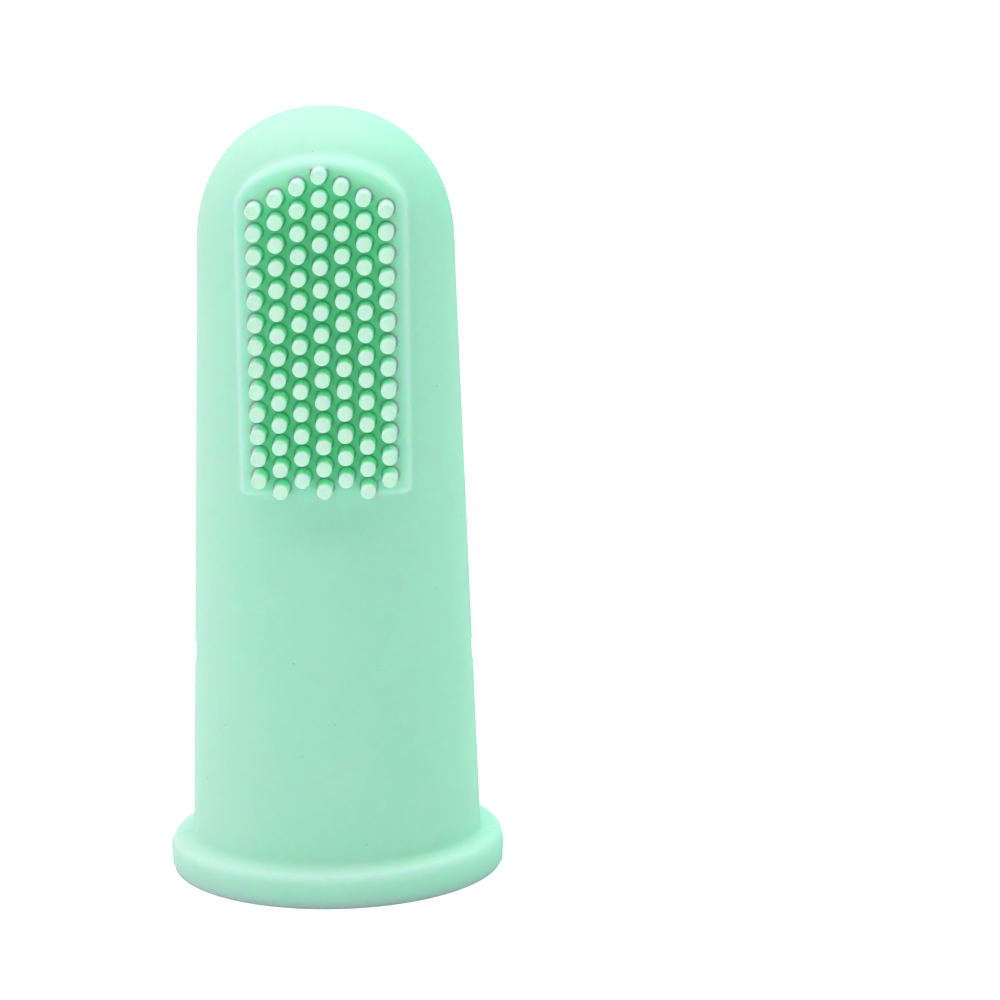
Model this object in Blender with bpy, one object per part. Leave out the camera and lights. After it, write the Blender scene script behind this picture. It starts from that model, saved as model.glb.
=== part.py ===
"""Finger toothbrush for pets: a hollow domed silicone sleeve that is worn on a fingertip.

The sleeve stands upright on its mouth, with its axis along +Z and the base plane at z = 0.
The bristles face -Y and the massage nubs face +Y.  "Depth" below is a distance from the
sleeve's axis towards the bristles, so a point at depth d lies at y = -d.
"""
import math

import bmesh
import bpy
from mathutils import Matrix, Vector

MM = 0.001

# Sleeve: a slightly tapered tube that ends in a dome.
TOTAL_HEIGHT = 54.95 * MM
SLEEVE_RADIUS_AT_CUFF = 10.42 * MM
SLEEVE_RADIUS_AT_DOME = 9.03 * MM
DOME_HEIGHT = 9.5 * MM
DOME_EXPONENT = 2.12
WALL = 2.0 * MM
SLEEVE_SEGMENTS = 48
DOME_RINGS = 8

# Cuff: the thick rolled rim around the mouth, which the brush stands on.
CUFF_RADIUS = 12.05 * MM
CUFF_FOOT_RADIUS = 11.85 * MM
CUFF_HEIGHT = 2.35 * MM
CUFF_TOP_ROUND = 0.95 * MM
CUFF_FOOT_ROUND = 0.45 * MM
MOUTH_ROUND = 0.5 * MM

# Brush pad: a flat plateau with an arched top.
PAD_HALF_WIDTH = 5.9 * MM
PAD_FACE_DEPTH = 9.1 * MM
PAD_TOP = 51.95 * MM
PAD_BOTTOM = 28.5 * MM
PAD_ARCH_HEIGHT = 3.5 * MM
PAD_ARCH_EXPONENT = 2.0
PAD_ARCH_STEPS = 16
PAD_CORNER = 0.9 * MM
PAD_EDGE_BEVEL = 0.25 * MM
PAD_BACK_DEPTH = 8.25 * MM
PAD_SEAT_DEPTH = 8.15 * MM
PAD_RECESS_DEPTH = 8.5 * MM

# Bristles: staggered columns on the pad, each column on its own backing strip.
COLUMN_COUNTS = (13, 14, 14, 15, 14, 14, 13)
COLUMN_SPACING = 1.49 * MM
ROW_PITCH = 1.53 * MM
TOP_BRISTLE_Z = 50.9 * MM
BRISTLE_RADIUS = 0.52 * MM
BRISTLE_TIP_DEPTH = 11.6 * MM
BRISTLE_SIDES = 10
STRIP_HALF_WIDTH = 0.56 * MM
STRIP_THICKNESS = 0.32 * MM
STRIP_END_STEPS = 6

# Massage nubs: low round buttons on the back, about as far apart sideways as upwards.
NUB_ROWS = 4
NUB_TOP_ROW_Z = 50.2 * MM
NUB_ROW_PITCH = 6.1 * MM
NUB_COLUMNS = ("far_left", "left", "right", "far_right")
NUB_COLUMN_ANGLE = math.radians(38.4)
NUB_RADIUS = 0.95 * MM
NUB_HEIGHT = 0.7 * MM
NUB_SLOPE_STEP = 0.5 * MM
NUB_RINGS = 3
NUB_SEGMENTS = 12

# Gaps between neighbouring pieces.
SEAT_GAP = 0.15 * MM
CUFF_GAP = 0.2 * MM
NUB_GAP = 0.05 * MM
RECESS_GAP = 0.2 * MM

# Cutters reach this far past what they cut.
CLEARANCE = 3.0 * MM

DOME_BASE_Z = TOTAL_HEIGHT - DOME_HEIGHT
SLEEVE_BOTTOM_Z = CUFF_HEIGHT + CUFF_GAP
STRIP_FACE_DEPTH = PAD_FACE_DEPTH
STRIP_PIVOT_DEPTH = STRIP_FACE_DEPTH - STRIP_THICKNESS / 2

MINT = (0.40, 0.78, 0.58, 1.0)
MINT_LIGHT = (0.50, 0.84, 0.68, 1.0)


def clear_scene():
    """Remove every object that is already in the scene."""
    for obj in list(bpy.data.objects):
        bpy.data.objects.remove(obj)


def make_material(name, colour, roughness):
    """A silicone material: coloured, not metallic, softly glossy."""
    material = bpy.data.materials.new(name)
    material.use_nodes = True
    shader = material.node_tree.nodes["Principled BSDF"]
    shader.inputs["Base Color"].default_value = colour
    shader.inputs["Roughness"].default_value = roughness
    shader.inputs["Metallic"].default_value = 0.0
    material.diffuse_color = colour
    return material


def new_object(name, bm, material=None):
    """Turn a bmesh into an object in the scene, with its faces pointing out."""
    bmesh.ops.recalc_face_normals(bm, faces=bm.faces)
    mesh = bpy.data.meshes.new(name)
    bm.to_mesh(mesh)
    bm.free()
    if material:
        mesh.materials.append(material)
    obj = bpy.data.objects.new(name, mesh)
    bpy.context.scene.collection.objects.link(obj)
    return obj


def as_cutter(obj):
    """Mark a helper object that shapes others and isn't a piece itself."""
    obj.hide_render = True
    obj.display_type = 'WIRE'
    return obj


def add_boolean(obj, operand, operation):
    """Add an exact Boolean with the operand to the object."""
    modifier = obj.modifiers.new(operation.title(), 'BOOLEAN')
    modifier.operation = operation
    modifier.solver = 'EXACT'
    modifier.object = operand


def shade_round(obj, angle=math.radians(40)):
    """Shade smooth, with sharp edges kept where the faces meet steeply."""
    obj.data.shade_smooth()
    obj.data.set_sharp_from_angle(angle=angle)


def spin_profile(profile, segments):
    """Turn a profile of (radius, z) points about the Z axis into a closed mesh."""
    bm = bmesh.new()
    verts = [bm.verts.new((radius, 0.0, z)) for radius, z in profile]
    edges = [bm.edges.new(pair) for pair in zip(verts, verts[1:])]
    if profile[0][0] > 0.0:
        edges.append(bm.edges.new((verts[-1], verts[0])))
    bmesh.ops.spin(bm, geom=verts + edges, cent=(0, 0, 0), axis=(0, 0, 1),
                   angle=math.tau, steps=segments, use_merge=True)
    bmesh.ops.remove_doubles(bm, verts=bm.verts, dist=0.001 * MM)
    return bm


def extrude_outline(outline, near_depth, far_depth):
    """A prism along Y: the (x, z) outline at near_depth, carried out to far_depth."""
    bm = bmesh.new()
    base = bm.faces.new([bm.verts.new((x, -near_depth, z)) for x, z in outline])
    grown = bmesh.ops.extrude_face_region(bm, geom=[base])
    front = [item for item in grown["geom"] if isinstance(item, bmesh.types.BMVert)]
    bmesh.ops.translate(bm, verts=front, vec=(0, near_depth - far_depth, 0))
    return bm


def arc(centre, radius, start, end, steps):
    """Points on an arc in the (x, z) or (radius, z) plane, both ends included."""
    turn = (end - start) / steps
    return [(centre[0] + radius * math.cos(start + turn * i),
             centre[1] + radius * math.sin(start + turn * i)) for i in range(steps + 1)]


# --- sleeve and cuff -------------------------------------------------------------------

def sleeve_radius(z):
    """Outer radius of the sleeve at height z."""
    if z <= DOME_BASE_Z:
        t = (z - CUFF_HEIGHT) / (DOME_BASE_Z - CUFF_HEIGHT)
        return SLEEVE_RADIUS_AT_CUFF + (SLEEVE_RADIUS_AT_DOME - SLEEVE_RADIUS_AT_CUFF) * t
    t = min((z - DOME_BASE_Z) / DOME_HEIGHT, 1.0)
    return SLEEVE_RADIUS_AT_DOME * (1.0 - t ** DOME_EXPONENT) ** (1.0 / DOME_EXPONENT)


def dome_profile(radius, height, rings):
    """Points up a dome, from its rim to its crown on the axis."""
    power = 2.0 / DOME_EXPONENT
    points = []
    for i in range(rings + 1):
        turn = math.pi / 2 * i / rings
        points.append((radius * max(math.cos(turn), 0.0) ** power,
                       DOME_BASE_Z + height * math.sin(turn) ** power))
    points[-1] = (0.0, DOME_BASE_Z + height)
    return points


def outer_profile(offset, bottom):
    """The sleeve's outside from its bottom edge to its crown, moved out by offset."""
    dome = dome_profile(SLEEVE_RADIUS_AT_DOME + offset, DOME_HEIGHT + offset, DOME_RINGS)
    return [(sleeve_radius(bottom) + offset, bottom)] + dome


def make_finger_sleeve(material):
    """The hollow, closed-end tube that holds the fingertip."""
    outside = outer_profile(0.0, SLEEVE_BOTTOM_Z)
    inside = outer_profile(-WALL, SLEEVE_BOTTOM_Z)
    profile = list(reversed(outside)) + inside
    sleeve = new_object("finger_sleeve", spin_profile(profile, SLEEVE_SEGMENTS), material)
    shade_round(sleeve)
    return sleeve


def make_mouth_cuff(material):
    """The thick rim ring around the mouth: it leans in a little towards its rounded foot."""
    bore = SLEEVE_RADIUS_AT_CUFF - WALL
    top_centre = (CUFF_RADIUS - CUFF_TOP_ROUND, CUFF_HEIGHT - CUFF_TOP_ROUND)
    foot_centre = (CUFF_FOOT_RADIUS - CUFF_FOOT_ROUND, CUFF_FOOT_ROUND)
    mouth_centre = (bore + MOUTH_ROUND, MOUTH_ROUND)
    profile = [(bore, CUFF_HEIGHT)]
    profile += arc(mouth_centre, MOUTH_ROUND, math.pi, math.pi * 1.5, 2)
    profile += arc(foot_centre, CUFF_FOOT_ROUND, -math.pi / 2, 0.0, 2)
    profile += arc(top_centre, CUFF_TOP_ROUND, 0.0, math.pi / 2, 4)
    cuff = new_object("mouth_cuff", spin_profile(profile, SLEEVE_SEGMENTS), material)
    shade_round(cuff)
    return cuff


# --- brush pad -------------------------------------------------------------------------

def pad_outline(grow):
    """The pad's outline in (x, z): straight sides, an arched top, rounded lower corners."""
    half = PAD_HALF_WIDTH + grow
    low = PAD_BOTTOM - grow
    spring_line = PAD_TOP - PAD_ARCH_HEIGHT
    rise = PAD_ARCH_HEIGHT + grow
    power = 2.0 / PAD_ARCH_EXPONENT
    arch = []
    for i in range(PAD_ARCH_STEPS + 1):
        turn = math.pi * i / PAD_ARCH_STEPS
        across = math.cos(turn)
        arch.append((math.copysign(half * abs(across) ** power, across),
                     spring_line + rise * max(math.sin(turn), 0.0) ** power))
    left = arc((-half + PAD_CORNER, low + PAD_CORNER), PAD_CORNER, math.pi, math.pi * 1.5, 3)
    right = arc((half - PAD_CORNER, low + PAD_CORNER), PAD_CORNER, -math.pi / 2, 0.0, 3)
    return arch + left + right


def recess_outline():
    """The shallow recess in the pad's face that the bristle columns' strips lie in."""
    margin = STRIP_HALF_WIDTH + RECESS_GAP
    shoulder_x = column_x(len(COLUMN_COUNTS) - 1)
    side = shoulder_x + margin
    slant = (ROW_PITCH / 2) / COLUMN_SPACING
    peak = TOP_BRISTLE_Z + margin * math.hypot(1.0, slant)
    shoulder_z = peak - slant * shoulder_x
    side_top = column_top(0)
    low = TOP_BRISTLE_Z - (max(COLUMN_COUNTS) - 1) * ROW_PITCH - margin
    return [(side, low), (side, side_top), (shoulder_x, shoulder_z), (0.0, peak),
            (-shoulder_x, shoulder_z), (-side, side_top), (-side, low)]


def make_brush_pad(material, sleeve):
    """The plateau that carries the bristles, and its flat seat cut into the sleeve."""
    reach = PAD_SEAT_DEPTH - CLEARANCE
    clear_of_face = PAD_FACE_DEPTH + CLEARANCE
    half_space = bmesh.new()
    bmesh.ops.create_cube(half_space, size=1.0)
    block_size = Vector((2 * TOTAL_HEIGHT, CUFF_RADIUS, 2 * TOTAL_HEIGHT))
    bmesh.ops.scale(half_space, verts=half_space.verts, vec=block_size)
    bmesh.ops.translate(half_space, verts=half_space.verts,
                        vec=(0, -PAD_BACK_DEPTH - block_size.y / 2, TOTAL_HEIGHT / 2))
    in_front = as_cutter(new_object("in_front_of_seat", half_space))

    inside = spin_profile(list(reversed(outer_profile(SEAT_GAP, SLEEVE_BOTTOM_Z)))
                          + [(0.0, SLEEVE_BOTTOM_Z)], SLEEVE_SEGMENTS)
    sleeve_space = as_cutter(new_object("sleeve_space", inside))
    add_boolean(sleeve_space, in_front, 'DIFFERENCE')

    recess = as_cutter(new_object(
        "strip_recess", extrude_outline(recess_outline(), PAD_RECESS_DEPTH, clear_of_face)))

    block = extrude_outline(pad_outline(0.0), reach, PAD_FACE_DEPTH)
    face_edges = [edge for edge in block.edges
                  if all(abs(v.co.y + PAD_FACE_DEPTH) < 0.01 * MM for v in edge.verts)]
    bmesh.ops.bevel(block, geom=face_edges, offset=PAD_EDGE_BEVEL, segments=2,
                    profile=0.5, affect='EDGES')
    pad = new_object("brush_pad", block, material)
    add_boolean(pad, sleeve_space, 'DIFFERENCE')
    add_boolean(pad, recess, 'DIFFERENCE')
    shade_round(pad)

    seat = as_cutter(new_object(
        "pad_seat", extrude_outline(pad_outline(SEAT_GAP), PAD_SEAT_DEPTH, clear_of_face)))
    add_boolean(sleeve, seat, 'DIFFERENCE')
    return pad


# --- bristles --------------------------------------------------------------------------

def column_x(index):
    """Sideways place of a bristle column, the first one at the lowest x."""
    return (index - (len(COLUMN_COUNTS) - 1) / 2) * COLUMN_SPACING


def column_top(index):
    """Height of a column's top bristle: half a row lower for each column off centre."""
    off_centre = abs(index - (len(COLUMN_COUNTS) - 1) // 2)
    return TOP_BRISTLE_Z - off_centre * ROW_PITCH / 2


def make_bristle_column(index, material):
    """One column of round bristles standing on a thin backing strip with round ends."""
    top = column_top(index)
    count = COLUMN_COUNTS[index]
    bottom = top - (count - 1) * ROW_PITCH
    origin = Vector((column_x(index), -STRIP_PIVOT_DEPTH, (top + bottom) / 2))

    ends = (arc((0.0, top), STRIP_HALF_WIDTH, 0.0, math.pi, STRIP_END_STEPS)
            + arc((0.0, bottom), STRIP_HALF_WIDTH, math.pi, math.tau, STRIP_END_STEPS))
    outline = [(x + origin.x, z) for x, z in ends]
    strip = extrude_outline(outline, STRIP_FACE_DEPTH - STRIP_THICKNESS, STRIP_FACE_DEPTH)

    root_depth = STRIP_PIVOT_DEPTH
    length = BRISTLE_TIP_DEPTH - root_depth
    along_y = Matrix.Rotation(math.pi / 2, 4, 'X')
    rods = bmesh.new()
    for row in range(count):
        middle = Vector((origin.x, -root_depth - length / 2, top - row * ROW_PITCH))
        bmesh.ops.create_cone(rods, cap_ends=True, segments=BRISTLE_SIDES,
                              radius1=BRISTLE_RADIUS, radius2=BRISTLE_RADIUS, depth=length,
                              matrix=Matrix.Translation(middle) @ along_y)

    for bm in (strip, rods):
        bmesh.ops.translate(bm, verts=bm.verts, vec=-origin)
    column = new_object(f"bristle_column_{index + 1}", strip, material)
    bristles = as_cutter(new_object(f"bristles_{index + 1}", rods))
    column.location = origin
    bristles.location = origin
    add_boolean(column, bristles, 'UNION')
    shade_round(column)
    return column


# --- massage nubs ----------------------------------------------------------------------

def make_massage_nub(row, column, material):
    """A low round button on the back; the columns are spaced evenly about its middle."""
    ball = (NUB_RADIUS ** 2 + NUB_HEIGHT ** 2) / (2 * NUB_HEIGHT)
    opening = math.asin(NUB_RADIUS / ball)
    profile = [(0.0, 0.0)]
    for i in range(NUB_RINGS + 1):
        turn = opening * (1.0 - i / NUB_RINGS)
        profile.append((ball * math.sin(turn), ball * math.cos(turn) - ball + NUB_HEIGHT))
    profile[1] = (NUB_RADIUS, 0.0)
    profile[-1] = (0.0, NUB_HEIGHT)
    nub = new_object(f"massage_nub_{row + 1}_{NUB_COLUMNS[column]}",
                     spin_profile(profile, NUB_SEGMENTS), material)
    shade_round(nub)

    z = NUB_TOP_ROW_Z - row * NUB_ROW_PITCH
    rise = sleeve_radius(z + NUB_SLOPE_STEP) - sleeve_radius(z - NUB_SLOPE_STEP)
    slope = rise / (2 * NUB_SLOPE_STEP)
    angle = ((len(NUB_COLUMNS) - 1) / 2 - column) * NUB_COLUMN_ANGLE
    around = Matrix.Rotation(angle, 3, 'Z')
    outward = around @ Vector((0.0, 1.0, 0.0))
    normal = (outward + Vector((0.0, 0.0, -slope))).normalized()
    foot = outward * sleeve_radius(z) + Vector((0.0, 0.0, z))
    nub.location = foot + normal * NUB_GAP
    nub.rotation_mode = 'QUATERNION'
    nub.rotation_quaternion = normal.to_track_quat('Z', 'Y')
    return nub


def build():
    """Make the whole brush."""
    clear_scene()
    body_silicone = make_material("mint_silicone", MINT, 0.45)
    brush_silicone = make_material("mint_silicone_bristles", MINT_LIGHT, 0.5)

    sleeve = make_finger_sleeve(body_silicone)
    make_mouth_cuff(body_silicone)
    make_brush_pad(body_silicone, sleeve)
    for index in range(len(COLUMN_COUNTS)):
        make_bristle_column(index, brush_silicone)
    for row in range(NUB_ROWS):
        for column in range(len(NUB_COLUMNS)):
            make_massage_nub(row, column, body_silicone)


build()
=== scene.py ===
"""A finger toothbrush for pets as it looks: one soft mint silicone moulding, standing on its cuff.

The skin is one closed mesh for the sleeve, cuff, brush pad and massage nubs, because the real
moulding has no gaps between them.  Each bristle column is a mesh of its own that grows out of the
skin.  Lengths here are millimetres; the frame and Blender use metres.  "Depth" is a distance from
the sleeve's axis towards the bristles, which face -Y.
"""
import math

import bpy
import numpy as np
from mathutils import Matrix, Vector


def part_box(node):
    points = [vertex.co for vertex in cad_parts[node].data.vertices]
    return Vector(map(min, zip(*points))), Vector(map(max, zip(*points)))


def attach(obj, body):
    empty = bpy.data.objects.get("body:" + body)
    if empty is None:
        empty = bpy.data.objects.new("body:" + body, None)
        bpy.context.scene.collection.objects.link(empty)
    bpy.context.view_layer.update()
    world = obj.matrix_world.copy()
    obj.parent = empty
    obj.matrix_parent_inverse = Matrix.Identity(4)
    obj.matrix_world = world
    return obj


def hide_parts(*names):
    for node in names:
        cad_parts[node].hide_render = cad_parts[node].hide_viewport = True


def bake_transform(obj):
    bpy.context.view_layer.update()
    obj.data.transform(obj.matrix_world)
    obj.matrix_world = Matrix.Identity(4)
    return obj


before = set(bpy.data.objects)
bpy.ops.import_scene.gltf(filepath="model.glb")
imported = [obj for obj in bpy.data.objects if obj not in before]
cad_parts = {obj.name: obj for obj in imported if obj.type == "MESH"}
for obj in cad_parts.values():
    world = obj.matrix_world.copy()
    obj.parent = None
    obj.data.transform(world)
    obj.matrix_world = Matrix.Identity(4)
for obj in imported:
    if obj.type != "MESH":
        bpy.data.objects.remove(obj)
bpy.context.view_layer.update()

MM = 0.001
TINY = 1e-3

# Shape of the moulding, for what a node's box doesn't say.
SLEEVE_RADIUS_AT_DOME = 9.03
DOME_HEIGHT = 9.5
DOME_POWER = 2.12
TAPER_EASE = 1.5            # how softly the taper ends where the dome begins
WALL = 2.0
CUFF_TOP_ROUND = 0.75
CUFF_LEAN = 0.05            # how much the cuff's wall leans in, per mm below its widest ring
CUFF_WIDEST_Z = 1.45
CUFF_FILLET = 0.55
CUFF_RISE = 0.2             # how far its rounded top stands over the CAD cuff's
FOOT_ROUND = 0.12
MOUTH_ROUND = 0.5
PAD_ARCH_HEIGHT = 3.5
PAD_ARCH_POWER = 2.0
PAD_CORNER = 0.6
PAD_BOTTOM_LIFT = 0.3       # the CAD pad reaches lower, to hold its bristle strips
PAD_EDGE = 0.45
PAD_EDGE_AT_TOP = 1.1       # the pad's edge is rounder over the arch
PAD_FILLET = 0.4
PAD_BACK = 0.3              # where the pad's prism starts, as a share of its depth
FLAT_RUN_OUT = 0.07         # how fast the flat front swells back to round below the pad
NUB_RADIUS = 0.95
NUB_HEIGHT = 0.7
NUB_FILLET = 0.2
NUB_REACH = 3.0             # a nub changes nothing further away than this
SLOPE_STEP = 0.25
SEAM_HEIGHT = 0.09
SEAM_HALF_WIDTH = 0.2
SEAM_ANGLE = math.radians(85)
SEAM_BREAK = (15.4, 16.6)
COLUMNS = 7
ROW_PITCH = 1.53
COLUMN_STEP = 0.51          # how far the rows drop, per mm from the middle column
BRISTLE_RADIUS = 0.52
BRISTLE_SIDES = 24
BRISTLE_ROOT_FLARE = 0.2
BRISTLE_TIP_ROUND = 0.2
BRISTLE_SUNK = 0.02         # how deep a bristle's root lies in the pad


def size_of(node):
    """A node's lowest and highest corners, in millimetres."""
    low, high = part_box(node)
    return np.array(low) / MM, np.array(high) / MM


sleeve_low, sleeve_high = size_of("finger_sleeve")
cuff_low, cuff_high = size_of("mouth_cuff")
pad_low, pad_high = size_of("brush_pad")

TOP = sleeve_high[2]
DOME_BASE = TOP - DOME_HEIGHT
CUFF_HEIGHT = cuff_high[2]
CUFF_RADIUS = cuff_high[0]
CUFF_BORE = 8.4
TAPER = (sleeve_high[0] - SLEEVE_RADIUS_AT_DOME) / (DOME_BASE - sleeve_low[2])
PAD_HALF_WIDTH = pad_high[0]
PAD_DEPTH = -pad_low[1]
PAD_BOTTOM = pad_low[2] + PAD_BOTTOM_LIFT
PAD_SPRING = pad_high[2] - PAD_ARCH_HEIGHT


# --- the skin as a distance from its surface -------------------------------------------

def together(a, b, fillet):
    """Two shapes as one, with a fillet where they meet."""
    corner = np.hypot(np.maximum(fillet - a, 0), np.maximum(fillet - b, 0))
    return np.maximum(fillet, np.minimum(a, b)) - corner


def shared(a, b, rounding):
    """What two shapes have in common, with its edge rounded."""
    corner = np.hypot(np.maximum(rounding + a, 0), np.maximum(rounding + b, 0))
    return np.minimum(-rounding, np.maximum(a, b)) + corner


def from_dome(across, up, half_width, height, power):
    """Distance from a straight-sided shape with a superelliptic top; up is measured from
    where the top begins.  TINY and the least steepness keep its middle finite."""
    u = np.abs(across) / half_width
    v = np.maximum(up, 0) / height
    size = np.maximum((u ** power + v ** power) ** (1 / power), TINY)
    steepness = np.hypot(u ** (power - 1) / half_width, v ** (power - 1) / height)
    steepness = np.maximum(steepness * size ** (1 - power), 0.5 / height)
    return (size - 1) / steepness


def tube_radius(z):
    """Radius of the tapered tube, carried on up inside the dome."""
    below = (DOME_BASE - z) / TAPER_EASE
    return SLEEVE_RADIUS_AT_DOME + TAPER * TAPER_EASE * np.logaddexp(0, below)


def from_cuff(rho, z):
    """Distance from the thick ring round the mouth."""
    lean = CUFF_LEAN * np.maximum(CUFF_WIDEST_Z - z, 0)
    return shared(rho - CUFF_RADIUS + lean, z - CUFF_HEIGHT - CUFF_RISE, CUFF_TOP_ROUND)


def from_pad_outline(x, z):
    """Distance from the pad's arched outline."""
    arch = from_dome(x, z - PAD_SPRING, PAD_HALF_WIDTH, PAD_ARCH_HEIGHT, PAD_ARCH_POWER)
    return shared(arch, PAD_BOTTOM - z, PAD_CORNER)


def from_pad(x, depth, z):
    """Distance from the pad's arched prism, which has no front face yet."""
    return np.maximum(from_pad_outline(x, z), PAD_BACK * PAD_DEPTH - depth)


def front_depth(z):
    """Depth of the flat front: level on the pad, and swelling past the sleeve below it."""
    return PAD_DEPTH + FLAT_RUN_OUT * np.maximum(PAD_BOTTOM - z, 0) ** 2


def pad_edge(z):
    """Rounding of the pad's front edge at height z."""
    up = np.clip((z - PAD_SPRING) / PAD_ARCH_HEIGHT, 0, 1)
    return PAD_EDGE + (PAD_EDGE_AT_TOP - PAD_EDGE) * up ** 2


def nub_balls():
    """Centre of the ball that each massage nub is a cap of, and the balls' radius."""
    ball = (NUB_RADIUS ** 2 + NUB_HEIGHT ** 2) / (2 * NUB_HEIGHT)
    centres = []
    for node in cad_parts:
        if node.startswith("massage_nub"):
            low, high = size_of(node)
            middle = (low + high) / 2
            outward = np.array([middle[0], middle[1], 0.0])
            outward /= np.linalg.norm(outward)
            slope = tube_slope(middle[2])
            normal = outward - np.array([0, 0, slope])
            normal /= np.linalg.norm(normal)
            top = middle + normal * 0.5 * NUB_HEIGHT
            centres.append(top - normal * ball)
    return centres, ball


def dome_radius(z):
    """Outer radius of the sleeve or dome at height z."""
    up = min(max((z - DOME_BASE) / DOME_HEIGHT, 0), 1)
    return float(tube_radius(z)) * (1 - up ** DOME_POWER) ** (1 / DOME_POWER)


def tube_slope(z):
    """How fast the sleeve's radius changes with height."""
    return (dome_radius(z + SLOPE_STEP) - dome_radius(z - SLOPE_STEP)) / (2 * SLOPE_STEP)


def seam_lift(x, depth, z):
    """Height of the parting line: a fine ridge down both sides, broken off once."""
    rho = np.hypot(x, depth)
    angle = np.arctan2(np.abs(x), depth)
    off = angle - SEAM_ANGLE
    away = rho * np.where(np.cos(off) > 0, np.abs(np.sin(off)), 1)
    along = 0.5 * (SEAM_BREAK[0] + SEAM_BREAK[1])
    gap = 0.5 * (SEAM_BREAK[1] - SEAM_BREAK[0])
    past_end = np.maximum(gap + SEAM_HALF_WIDTH - np.abs(z - along), 0)
    near = np.clip(np.hypot(away, past_end) / SEAM_HALF_WIDTH, 0, 1)
    return SEAM_HEIGHT * (1 - near ** 2) ** 2


NUB_CENTRES, NUB_BALL = nub_balls()


def skin_distance(x, y, z):
    """Distance from the moulding's outer surface, negative inside it."""
    depth = -y
    rho = np.hypot(x, y)
    sleeve = from_dome(rho, z - DOME_BASE, tube_radius(z), DOME_HEIGHT, DOME_POWER)
    solid = together(sleeve, from_pad(x, depth, z), PAD_FILLET)
    solid = shared(solid, depth - front_depth(z), pad_edge(z))
    solid = together(solid, from_cuff(rho, z), CUFF_FILLET)
    for centre in NUB_CENTRES:
        ball = np.hypot(np.hypot(x - centre[0], y - centre[1]), z - centre[2])
        near = ball < NUB_BALL + NUB_REACH
        solid[near] = together(solid[near], ball[near] - NUB_BALL, NUB_FILLET)
    return solid - seam_lift(x, depth, z)


# --- the skin as a mesh ----------------------------------------------------------------

# How strong the painted highlights are on the parting line, the nubs, the crown, the pad's edge
# and the cuff's rim: how much paler these are painted than the rest.
SEAM_PALE, SEAM_PALE_ON_CUFF = 2, 0.5
NUB_PALE = 0.8
NUB_PALE_DEPTH = 0.04
DOME_PALE = 0.35
PAD_PALE_INSET = 0.3        # as a share of the edge's rounding
PAD_PALE_WIDTH = 0.2
PAD_PALE_SPREAD = 0.1       # extra width, per mm of the edge's rounding
PAD_PALE_FROM = (0.5, 1.3)  # how far the pad's edge stands out where this starts, and is full
CUFF_PALE_INSET = 0.3
CUFF_PALE_WIDTH = 0.7

# Angles from the middle of the front, in degrees, and how many steps lead up to each: the
# steps are finest at the pad's sides, at the seam and at the nubs.
STEPS_AROUND = ((26, 20), (43, 25), (82.2, 15), (87.8, 18), (115.4, 8), (129.4, 20),
                (153.8, 8), (167.8, 20), (180, 6))
# Heights up the sleeve, in millimetres, and how many rings lead up to each.
RINGS_UP = ((3.8, 24), (14.8, 10), (17.2, 20), (27.0, 12), (45.0, 142))
# Elevations over the dome, in degrees from its base, and how many rings lead up to each.
RINGS_OVER = ((57, 78), (90, 24))
PAD_STEP_TILT = 0.5         # how steeply the rays look down at the pad's bottom edge
PAD_STEP_REACH = 2.2
# A ray meets the outer surface between these distances, and halving finds where.
RAY_NEAR, RAY_FAR = 5.0, 15.0
HALVINGS = 28
FOOT_RINGS, MOUTH_RINGS, BORE_RINGS, CROWN_RINGS = 6, 5, 12, 15


def stepped(stops, start):
    """All the values from start through the stops, each reached in its number of steps."""
    values = [start]
    for stop, count in stops:
        values += list(np.linspace(values[-1], stop, count + 1)[1:])
    return np.array(values)


def skin_rays():
    """Start point and direction of a ray for each vertex of the outside: rings by angles.
    Up the sleeve the rays leave the axis level, but for a tilt that meets the pad's bottom
    edge, and over the dome they fan out of its centre."""
    half = np.radians(stepped(STEPS_AROUND, 0.0))
    around = np.concatenate([half, -half[-2:0:-1]])
    heights = stepped(RINGS_UP, FOOT_ROUND)
    heights = heights[heights < DOME_BASE]
    over = np.radians(stepped(RINGS_OVER, 0.0))[:-1]

    tilt = -PAD_STEP_TILT * np.exp(-((heights - PAD_BOTTOM) / PAD_STEP_REACH) ** 2)
    start_z = np.concatenate([heights - tilt * PAD_DEPTH, np.full(len(over), DOME_BASE)])
    flat = np.concatenate([np.ones(len(heights)), np.cos(over)])
    rise = np.concatenate([tilt, np.sin(over)])
    return around, start_z, flat, rise


def skin_outside(around, start_z, flat, rise):
    """The outer surface's points, found along the rays by halving."""
    shape = (len(start_z), len(around))
    across = np.broadcast_to(np.sin(around), shape) * flat[:, None]
    forward = np.broadcast_to(np.cos(around), shape) * flat[:, None]
    upward = np.broadcast_to(rise[:, None], shape)
    base = np.broadcast_to(start_z[:, None], shape)
    near = np.full(shape, RAY_NEAR)
    far = np.full(shape, RAY_FAR)
    for _ in range(HALVINGS):
        middle = 0.5 * (near + far)
        inside = skin_distance(across * middle, -forward * middle, base + upward * middle) < 0
        near = np.where(inside, middle, near)
        far = np.where(inside, far, middle)
    reach = 0.5 * (near + far)
    return np.stack([across * reach, -forward * reach, base + upward * reach], axis=-1)


def ring(around, radius, z):
    """A level ring of points."""
    return np.stack([radius * np.sin(around), -radius * np.cos(around), z + 0 * around], axis=-1)


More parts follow.
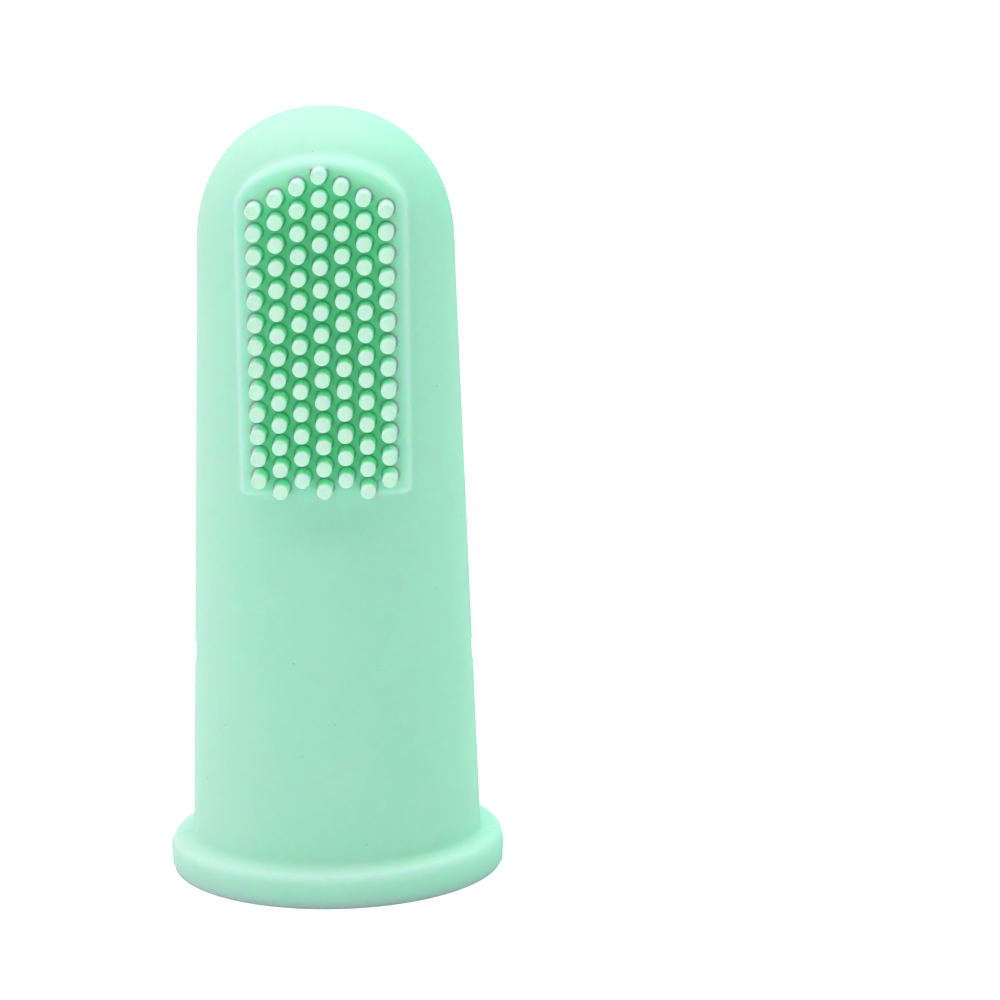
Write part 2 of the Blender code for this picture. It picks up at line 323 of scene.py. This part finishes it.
def skin_underside(around, lowest):
    """Rings from the mouth up to the foot's rounding: they meet the outside's lowest ring."""
    radius = np.hypot(lowest[:, 0], lowest[:, 1])
    rings = []
    for turn in np.linspace(0, math.pi / 2, FOOT_RINGS)[1:]:
        inset = FOOT_ROUND * (1 - math.cos(turn))
        rings.append(ring(around, radius - inset, FOOT_ROUND * (1 - math.sin(turn))))
    mouth = CUFF_BORE + MOUTH_ROUND
    rings.append(ring(around, mouth + 0.5 * (rings[-1].max() - mouth), 0.0))
    for turn in np.linspace(0, math.pi / 2, MOUTH_RINGS):
        rings.append(ring(around, mouth - MOUTH_ROUND * math.sin(turn),
                          MOUTH_ROUND * (1 - math.cos(turn))))
    return rings


def skin_inside(around):
    """Rings up the bore and over the inside of the dome."""
    rings = []
    for z in np.linspace(MOUTH_ROUND, DOME_BASE, BORE_RINGS)[1:]:
        rings.append(ring(around, tube_radius(z) - WALL, z))
    rim = float(tube_radius(DOME_BASE)) - WALL
    for turn in np.linspace(0, math.pi / 2, CROWN_RINGS)[1:-1]:
        rings.append(ring(around, rim * math.cos(turn) ** (2 / DOME_POWER),
                          DOME_BASE + (DOME_HEIGHT - WALL) * math.sin(turn) ** (2 / DOME_POWER)))
    return rings


def new_mesh(name, points, faces, materials):
    """A smooth-shaded mesh object from points in millimetres."""
    mesh = bpy.data.meshes.new(name)
    mesh.from_pydata([tuple(p) for p in np.asarray(points) * MM], [], faces)
    mesh.shade_smooth()
    for material in materials:
        mesh.materials.append(material)
    obj = bpy.data.objects.new(name, mesh)
    bpy.context.scene.collection.objects.link(obj)
    return obj


def loft(rings, first_pole, last_pole):
    """Points and faces of a closed skin over rings of equal size, with a point at each end."""
    count = len(rings[0])
    points = np.concatenate([np.asarray([first_pole]), *rings, np.asarray([last_pole])])
    last = len(points) - 1
    faces = []
    for i in range(count):
        j = (i + 1) % count
        faces.append((0, 1 + j, 1 + i))
        faces.append((last, last - count + i, last - count + j))
    for k in range(len(rings) - 1):
        a, b = 1 + k * count, 1 + (k + 1) * count
        faces += [(a + i, a + (i + 1) % count, b + (i + 1) % count, b + i) for i in range(count)]
    return points, faces


def spot(distance, width):
    """1 at no distance, fading to nothing over about the width."""
    return np.exp(-(distance / width) ** 2)


def painted_highlight(points):
    """How strong the painted highlight is: most along the parting line, then on the cuff's edge,
    the pad's edge where it stands out from the sleeve, the nubs and the crown."""
    x, depth, z = points[:, 0], -points[:, 1], points[:, 2]
    rho = np.hypot(x, depth)
    outside = (rho > tube_radius(z) - 0.5 * WALL) | (z > DOME_BASE)
    seam = np.where(outside, seam_lift(x, depth, z) / SEAM_HEIGHT, 0)
    seam *= np.where(z > CUFF_HEIGHT + 1, SEAM_PALE, SEAM_PALE_ON_CUFF)

    edge = pad_edge(z)
    inset = PAD_PALE_INSET * edge
    off = np.hypot(from_pad_outline(x, z) + inset, depth - front_depth(z) + inset)
    stands_out = front_depth(z) - np.sqrt(np.maximum(tube_radius(z) ** 2 - x ** 2, 0))
    start, end = PAD_PALE_FROM
    rim = spot(off, PAD_PALE_WIDTH + PAD_PALE_SPREAD * edge)
    rim *= np.clip((stands_out - start) / (end - start), 0, 1)

    nubs = np.zeros(len(points))
    for centre in NUB_CENTRES:
        under = np.abs(np.linalg.norm(points - centre, axis=1) - NUB_BALL)
        nubs = np.maximum(nubs, np.clip(2 - under / NUB_PALE_DEPTH, 0, 1))

    dome = np.clip((z - DOME_BASE) / DOME_HEIGHT, 0, 1) ** 2
    cuff_top = CUFF_HEIGHT + CUFF_RISE
    cuff = np.hypot(rho - CUFF_RADIUS + CUFF_PALE_INSET, z - cuff_top + CUFF_PALE_INSET)
    return seam + rim + NUB_PALE * nubs + DOME_PALE * dome + spot(cuff, CUFF_PALE_WIDTH)


def make_skin(material):
    """The whole moulding but for its bristles, from the inner crown down, round and up."""
    around, start_z, flat, rise = skin_rays()
    outside = skin_outside(around, start_z, flat, rise)
    crown_lift = seam_lift(np.zeros(1), np.zeros(1), np.array([TOP]))[0]
    crown = (0.0, 0.0, TOP + float(crown_lift))
    rings = skin_inside(around)[::-1] + skin_underside(around, outside[0])[::-1] + list(outside)
    points, faces = loft(rings, (0.0, 0.0, TOP - WALL), crown)
    skin = new_mesh("silicone_skin", points, faces, [material])
    # The painted highlights, kept on the skin as a value at each point.
    pale = skin.data.attributes.new("painted_highlight", 'FLOAT', 'POINT')
    pale.data.foreach_set("value", painted_highlight(points))
    return skin


# --- bristles --------------------------------------------------------------------------

def bristle_profile(root, tip):
    """(radius, depth) points along a bristle from its flared root to its rounded rim."""
    points = []
    for turn in np.linspace(0, math.pi / 2, 6):
        points.append((BRISTLE_RADIUS + BRISTLE_ROOT_FLARE * (1 - math.sin(turn)),
                       root + BRISTLE_ROOT_FLARE * (1 - math.cos(turn))))
    shaft_end = tip - BRISTLE_TIP_ROUND
    for depth in np.linspace(points[-1][1], shaft_end, 8)[1:]:
        points.append((BRISTLE_RADIUS, depth))
    for turn in np.linspace(0, math.pi / 2, 6)[1:]:
        points.append((BRISTLE_RADIUS - BRISTLE_TIP_ROUND * (1 - math.cos(turn)),
                       shaft_end + BRISTLE_TIP_ROUND * math.sin(turn)))
    points.append((0.5 * (BRISTLE_RADIUS - BRISTLE_TIP_ROUND), tip))
    return points


def make_bristles(index, material):
    """One column of round bristles that grow out of the pad."""
    node = f"bristle_column_{index}"
    low, high = size_of(node)
    x = 0.5 * (low[0] + high[0])
    half_strip = 0.5 * (high[0] - low[0])
    top, bottom = high[2] - half_strip, low[2] + half_strip
    root, tip = PAD_DEPTH - BRISTLE_SUNK, -low[1]
    turns = np.linspace(0, math.tau, BRISTLE_SIDES, endpoint=False)
    profile = bristle_profile(root, tip)
    points, faces = [], []
    for row in range(round((top - bottom) / ROW_PITCH) + 1):
        z = top - row * ROW_PITCH
        rings = [np.stack([x - radius * np.sin(turns), -depth + 0 * turns,
                           z + radius * np.cos(turns)], axis=-1) for radius, depth in profile]
        more, more_faces = loft(rings, (x, -root, z), (x, -tip, z))
        shift = sum(len(p) for p in points)
        points.append(more)
        faces += [tuple(v + shift for v in face) for face in more_faces]
    column = new_mesh(f"bristles_{index}", np.concatenate(points), faces, [material])
    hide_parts(node)
    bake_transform(column)
    return column


# --- materials -------------------------------------------------------------------------

MINT = (0.515, 0.935, 0.74, 1)
MINT_DEEP = (0.485, 0.92, 0.71, 1)
# Painted shade: the deeper mint on the pad's face between the bristles.
MINT_PAINTED_SHADE = (0.285, 0.945, 0.59, 1)
# Painted light: the pale mint of the painted highlights, and the colour of the bristles' painted
# glow.
MINT_PAINTED_LIGHT = (0.75, 0.98, 0.87, 1)
# Along the bristles: the deep mint at the root is painted shade, and the paler outer and tip
# colours are painted light.
BRISTLE_ROOT = (0.285, 0.945, 0.60, 1)
BRISTLE_SHAFT = (0.385, 0.925, 0.66, 1)
BRISTLE_TIP = (0.70, 0.985, 0.80, 1)
BRISTLE_OUTER = (0.58, 0.94, 0.77, 1)
DUST = (0.16, 0.36, 0.26, 1)
SHEEN = 0.1
# Painted glow on the bristles inside the bunch, in place of light that reaches them through the
# silicone: how far along them it is, and how strong.
BRISTLE_GLOW = ((0.5, 0.0), (0.9, 0.09), (0.97, 0.07))
# How far light spreads in the silicone, in millimetres of red, green and blue.
BODY_SCATTER = (0.4, 1.8, 0.9)
BRISTLE_SCATTER = (0.15, 0.6, 0.3)
BODY_GLOSS = 0.5
BRISTLE_GLOSS = 0.1
# How far the painted highlights go towards the pale mint.
HIGHLIGHT_STRENGTH = 0.45
# The places where the painted shade of the bunch, its deep colour, fades out on the pad's face and
# on the bristles: half widths, heights over the arch, and heights, in metres.
BETWEEN = ((4.0 * MM, 5.1 * MM), (50.4 * MM, 52.0 * MM), (28.9 * MM, 30.4 * MM))
WITHIN = ((4.5 * MM, 4.8 * MM), (51.0 * MM, 51.3 * MM), (28.9 * MM, 29.4 * MM))
# How fine the material's variations are, in repeats to the metre.
CLOUD_SCALE = 180
DUST_SCALE = 400
SMEAR_SCALE = 900
GRAIN_SCALE = 4200
GRAIN_DEPTH = 0.05 * MM
GRAIN_STRENGTH = 0.12
ROUGHNESS = (0.40, 0.56)
SILICONE_IOR = 1.41


class Nodes:
    """A material's node tree, with short ways to add the nodes that a moulding needs."""

    def __init__(self, material):
        material.use_nodes = True
        self.nodes, self.links = material.node_tree.nodes, material.node_tree.links
        self.shader = self.nodes["Principled BSDF"]
        self.where = self.nodes.new("ShaderNodeTexCoord").outputs["Object"]

    def noise(self, scale, detail):
        """Soft noise over the object."""
        node = self.nodes.new("ShaderNodeTexNoise")
        node.inputs["Scale"].default_value = scale
        node.inputs["Detail"].default_value = detail
        self.links.new(self.where, node.inputs["Vector"])
        return node.outputs["Fac"]

    def ramp(self, value, stops):
        """A value turned into colours, with (position, colour) stops."""
        node = self.nodes.new("ShaderNodeValToRGB")
        while len(node.color_ramp.elements) < len(stops):
            node.color_ramp.elements.new(0.5)
        for element, (position, colour) in zip(node.color_ramp.elements, stops):
            element.position = position
            element.color = colour
        self.links.new(value, node.inputs["Fac"])
        return node.outputs["Color"]

    def mix(self, factor, a, b):
        """Two colours mixed; each is a socket or a plain colour."""
        node = self.nodes.new("ShaderNodeMix")
        node.data_type = 'RGBA'
        sockets = {socket.identifier: socket for socket in node.inputs}
        self.links.new(factor, sockets["Factor_Float"])
        for value, name in ((a, "A_Color"), (b, "B_Color")):
            if isinstance(value, tuple):
                sockets[name].default_value = value
            else:
                self.links.new(value, sockets[name])
        return next(o for o in node.outputs if o.identifier == "Result_Color")

    def maths(self, operation, a, b=0.0):
        """A math operation on one or two values."""
        node = self.nodes.new("ShaderNodeMath")
        node.operation = operation
        for value, socket in ((a, node.inputs[0]), (b, node.inputs[1])):
            if isinstance(value, float):
                socket.default_value = value
            else:
                self.links.new(value, socket)
        return node.outputs["Value"]

    def fit(self, value, start, end, low, high):
        """A value taken from one range to another."""
        node = self.nodes.new("ShaderNodeMapRange")
        for name, number in (("From Min", start), ("From Max", end),
                             ("To Min", low), ("To Max", high)):
            node.inputs[name].default_value = number
        self.links.new(value, node.inputs["Value"])
        return node.outputs["Result"]


def silicone(name, colours, scatter, gloss):
    """Matt moulded silicone: soft, slightly see-through and faintly uneven, with a little
    dust on it.  colours adds the colour, and more, to the material's nodes."""
    material = bpy.data.materials.new(name)
    tree = Nodes(material)
    shader = tree.shader
    shader.inputs["Subsurface Weight"].default_value = 1.0
    shader.inputs["Subsurface Radius"].default_value = scatter
    shader.inputs["Subsurface Scale"].default_value = MM
    shader.inputs["IOR"].default_value = SILICONE_IOR
    shader.inputs["Specular IOR Level"].default_value = gloss
    shader.inputs["Sheen Weight"].default_value = SHEEN
    shader.inputs["Sheen Roughness"].default_value = 0.5

    specks = tree.nodes.new("ShaderNodeTexVoronoi")
    specks.inputs["Scale"].default_value = DUST_SCALE
    tree.links.new(tree.where, specks.inputs["Vector"])
    dust = tree.ramp(specks.outputs["Distance"],
                     ((0.02, (0.35, 0.35, 0.35, 1)), (0.045, (0, 0, 0, 1))))
    dusty = tree.mix(dust, colours(tree), DUST)
    tree.links.new(dusty, shader.inputs["Base Color"])
    roughness = tree.fit(tree.noise(SMEAR_SCALE, 4), 0, 1, *ROUGHNESS)
    tree.links.new(roughness, shader.inputs["Roughness"])

    grain = tree.nodes.new("ShaderNodeBump")
    grain.inputs["Strength"].default_value = GRAIN_STRENGTH
    grain.inputs["Distance"].default_value = GRAIN_DEPTH
    tree.links.new(tree.noise(GRAIN_SCALE, 3), grain.inputs["Height"])
    tree.links.new(grain.outputs["Normal"], shader.inputs["Normal"])
    return material


def inside_bunch(tree, side, roof, foot):
    """1 where there are bristles all round and 0 outside the bunch.  Each limit is a pair of
    places that it fades between: half widths, heights over the arch, and heights."""
    split = tree.nodes.new("ShaderNodeSeparateXYZ")
    tree.links.new(tree.where, split.inputs["Vector"])
    aside = tree.maths('ABSOLUTE', split.outputs["X"])
    over = tree.maths('ADD', split.outputs["Z"], tree.maths('MULTIPLY', aside, COLUMN_STEP))
    mask = tree.maths('MULTIPLY', tree.fit(aside, *side, 1, 0), tree.fit(over, *roof, 1, 0))
    return tree.maths('MULTIPLY', mask, tree.fit(split.outputs["Z"], *foot, 0, 1)), split


def body_colours(tree):
    """Mint with faint clouds, with painted highlights on the parting line, the edges, the nubs and
    the crown, and a deeper mint between the bristles as painted shade."""
    # Where the painted shade between the bristles goes.
    mask, split = inside_bunch(tree, *BETWEEN)
    on_face = tree.fit(split.outputs["Y"], -0.9 * PAD_DEPTH * MM, -PAD_DEPTH * MM, 0, 1)
    clouds = tree.ramp(tree.noise(CLOUD_SCALE, 3), ((0.3, MINT_DEEP), (0.7, MINT)))
    # The painted highlights, read from the skin.
    highlight_attribute = tree.nodes.new("ShaderNodeAttribute")
    highlight_attribute.attribute_name = "painted_highlight"
    highlighted = tree.mix(tree.fit(highlight_attribute.outputs["Fac"], 0, 1, 0, HIGHLIGHT_STRENGTH), clouds, MINT_PAINTED_LIGHT)
    return tree.mix(tree.maths('MULTIPLY', mask, on_face), highlighted, MINT_PAINTED_SHADE)


def bristle_colours(tree):
    """Deep mint inside the bunch as painted shade, paler outside it and palest at the tips as
    painted light, and a faint painted glow inside the bunch."""
    mask, split = inside_bunch(tree, *WITHIN)
    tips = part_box("bristle_column_1")[0].y
    along = tree.fit(split.outputs["Y"], -PAD_DEPTH * MM, tips, 0, 1)
    shader = tree.shader
    # Painted glow: the inner bristles emit a little pale mint light.
    shader.inputs["Emission Color"].default_value = MINT_PAINTED_LIGHT
    glow = tree.ramp(along, [(place, (strength, strength, strength, 1))
                             for place, strength in BRISTLE_GLOW])
    tree.links.new(tree.maths('MULTIPLY', mask, glow), shader.inputs["Emission Strength"])
    # Painted shade deep in the bunch, painted light towards the tips and on the outer bristles.
    inner = tree.ramp(along, ((0.0, BRISTLE_ROOT), (0.5, BRISTLE_SHAFT),
                              (0.85, BRISTLE_OUTER), (0.96, BRISTLE_TIP)))
    outer = tree.ramp(along, ((0.0, MINT), (0.6, BRISTLE_OUTER), (0.97, BRISTLE_TIP)))
    return tree.mix(mask, outer, inner)


# --- studio ----------------------------------------------------------------------------

CAMERA_DISTANCE = 218.5
CAMERA_HEIGHT = 67.6
CAMERA_AZIMUTH = 0.04034
CAMERA_HEADING = -0.01516
CAMERA_PITCH = 0.18543
CAMERA_ROLL = -0.01007
CAMERA_LENS = 111.13
# Light from all round: the direction it is strongest in, its strength, and the cosine of
# the angle from that direction at which it ends.
LIGHT_LOBES = (((-1, 0, 0), 0.65, 0.0), ((1, 0, 0), 0.28, 0.0), ((-0.5, 0.87, 0), 0.42, 0.0),
               ((0, 0, 1), 2.0, 0.6), ((0.55, 0.55, 0.63), 1.15, 0.7))
CARD_SIDE = (0.85, 0.5, -0.45)    # where the mint tint in that light comes from
CARD_STRENGTH = 1.4
CARD_COLOUR = (0.06, 1.0, 0.6, 1)
FRONT_LIGHT_PLACE = (-0.06, -0.6, 0.15)
FRONT_LIGHT_SIZE = 0.25
FRONT_LIGHT_POWER = 0.47
OVERHEAD_PLACE = (0.15, 0.1, 0.6)
OVERHEAD_SIZE = 0.5
OVERHEAD_POWER = 0.15
LIGHT_BOUNCES = 16          # enough for the light deep between the bristles
FLOOR_RADIUS = 3
FLOOR_SIDES = 96
FLOOR_GREY = 0.8
FLOOR_GLOW = 0.65


def make_camera():
    """A short telephoto view from the front, a little from above."""
    data = bpy.data.cameras.new("camera")
    data.lens = CAMERA_LENS
    data.clip_start = 0.01
    data.clip_end = 20
    camera = bpy.data.objects.new("camera", data)
    camera.location = (CAMERA_DISTANCE * math.sin(CAMERA_AZIMUTH) * MM,
                       -CAMERA_DISTANCE * math.cos(CAMERA_AZIMUTH) * MM, CAMERA_HEIGHT * MM)
    # Roll about the view axis, then pitch, then heading.
    turn = (Matrix.Rotation(CAMERA_HEADING, 3, 'Z')
            @ Matrix.Rotation(math.pi / 2 - CAMERA_PITCH, 3, 'X')
            @ Matrix.Rotation(CAMERA_ROLL, 3, 'Z'))
    camera.rotation_mode = 'QUATERNION'
    camera.rotation_quaternion = turn.to_quaternion()
    bpy.context.scene.collection.objects.link(camera)
    bpy.context.scene.camera = camera


def make_floor():
    """A wide round white floor that glows a little, so that it stays white."""
    mesh = bpy.data.meshes.new("floor")
    turns = np.linspace(0, math.tau, FLOOR_SIDES, endpoint=False)
    rim = [(FLOOR_RADIUS * math.cos(t), FLOOR_RADIUS * math.sin(t), 0) for t in turns]
    mesh.from_pydata(rim, [], [tuple(range(FLOOR_SIDES))])
    material = bpy.data.materials.new("white_floor")
    material.use_nodes = True
    nodes, links = material.node_tree.nodes, material.node_tree.links
    shader = nodes["Principled BSDF"]
    shader.inputs["Base Color"].default_value = (FLOOR_GREY, FLOOR_GREY, FLOOR_GREY, 1)
    shader.inputs["Roughness"].default_value = 0.9
    shader.inputs["Emission Color"].default_value = (1, 1, 1, 1)
    glow = nodes.new("ShaderNodeMath")
    glow.operation = 'MULTIPLY'
    glow.inputs[1].default_value = FLOOR_GLOW
    seen = nodes.new("ShaderNodeLightPath")
    links.new(seen.outputs["Is Camera Ray"], glow.inputs[0])
    links.new(glow.outputs["Value"], shader.inputs["Emission Strength"])
    mesh.materials.append(material)
    floor = bpy.data.objects.new("floor", mesh)
    bpy.context.scene.collection.objects.link(floor)


def make_softbox(name, place, size, power):
    """A square area light that faces the brush."""
    data = bpy.data.lights.new(name, 'AREA')
    data.shape = 'SQUARE'
    data.size = size
    data.energy = power
    light = bpy.data.objects.new(name, data)
    light.location = place
    aim = Vector((0, 0, 0.5 * TOP * MM)) - light.location
    light.rotation_mode = 'QUATERNION'
    light.rotation_quaternion = aim.to_track_quat('-Z', 'Y')
    bpy.context.scene.collection.objects.link(light)


def make_surroundings():
    """Light from all round: white, bright from the left, the back and above, and mint from
    the right, as if a mint card stood there.  The camera sees plain white."""
    world = bpy.data.worlds.new("white_surroundings")
    world.use_nodes = True
    nodes, links = world.node_tree.nodes, world.node_tree.links
    glow = nodes["Background"]
    along = nodes.new("ShaderNodeTexCoord")

    def lobe(direction, strength, edge=0.0):
        """Light that grows to full strength along a direction from nothing at its edge, which
        is given as the cosine of an angle: 0 is at the sides."""
        facing = nodes.new("ShaderNodeVectorMath")
        facing.operation = 'DOT_PRODUCT'
        facing.inputs[1].default_value = Vector(direction).normalized()
        links.new(along.outputs["Generated"], facing.inputs[0])
        node = nodes.new("ShaderNodeMapRange")
        node.inputs["From Min"].default_value = edge
        node.inputs["To Max"].default_value = strength
        links.new(facing.outputs["Value"], node.inputs["Value"])
        return node.outputs["Result"]

    def add(a, b):
        node = nodes.new("ShaderNodeMath")
        node.operation = 'ADD'
        for value, socket in ((a, node.inputs[0]), (b, node.inputs[1])):
            if isinstance(value, float):
                socket.default_value = value
            else:
                links.new(value, socket)
        return node.outputs["Value"]

    total = 0.0
    for direction, strength, edge in LIGHT_LOBES:
        total = add(lobe(direction, strength, edge), total)
    card = nodes.new("ShaderNodeMix")
    card.data_type = 'RGBA'
    card.inputs[6].default_value = (1, 1, 1, 1)
    card.inputs[7].default_value = CARD_COLOUR
    links.new(lobe(CARD_SIDE, CARD_STRENGTH), card.inputs[0])
    links.new(card.outputs[2], glow.inputs["Color"])
    links.new(total, glow.inputs["Strength"])

    plain = nodes.new("ShaderNodeBackground")
    seen = nodes.new("ShaderNodeLightPath")
    choose = nodes.new("ShaderNodeMixShader")
    plain.inputs["Color"].default_value = (1, 1, 1, 1)
    links.new(seen.outputs["Is Camera Ray"], choose.inputs["Fac"])
    links.new(glow.outputs["Background"], choose.inputs[1])
    links.new(plain.outputs["Background"], choose.inputs[2])
    links.new(choose.outputs["Shader"], nodes["World Output"].inputs["Surface"])
    bpy.context.scene.world = world


def make_lighting():
    """White surroundings, a soft frontal light and a soft light overhead."""
    make_surroundings()
    make_softbox("front", FRONT_LIGHT_PLACE, FRONT_LIGHT_SIZE, FRONT_LIGHT_POWER)
    make_softbox("overhead", OVERHEAD_PLACE, OVERHEAD_SIZE, OVERHEAD_POWER)
    bpy.context.scene.view_settings.view_transform = 'Standard'
    bpy.context.scene.cycles.diffuse_bounces = LIGHT_BOUNCES
    bpy.context.scene.cycles.max_bounces = LIGHT_BOUNCES


make_camera()
make_floor()
make_lighting()

skin = make_skin(silicone("mint_silicone", body_colours, BODY_SCATTER, BODY_GLOSS))
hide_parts("finger_sleeve", "mouth_cuff", "brush_pad",
            *[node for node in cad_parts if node.startswith("massage_nub")])
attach(skin, "brush_body")
bristle_silicone = silicone("mint_bristle_silicone", bristle_colours, BRISTLE_SCATTER,
                            BRISTLE_GLOSS)
for number in range(1, COLUMNS + 1):
    make_bristles(number, bristle_silicone)
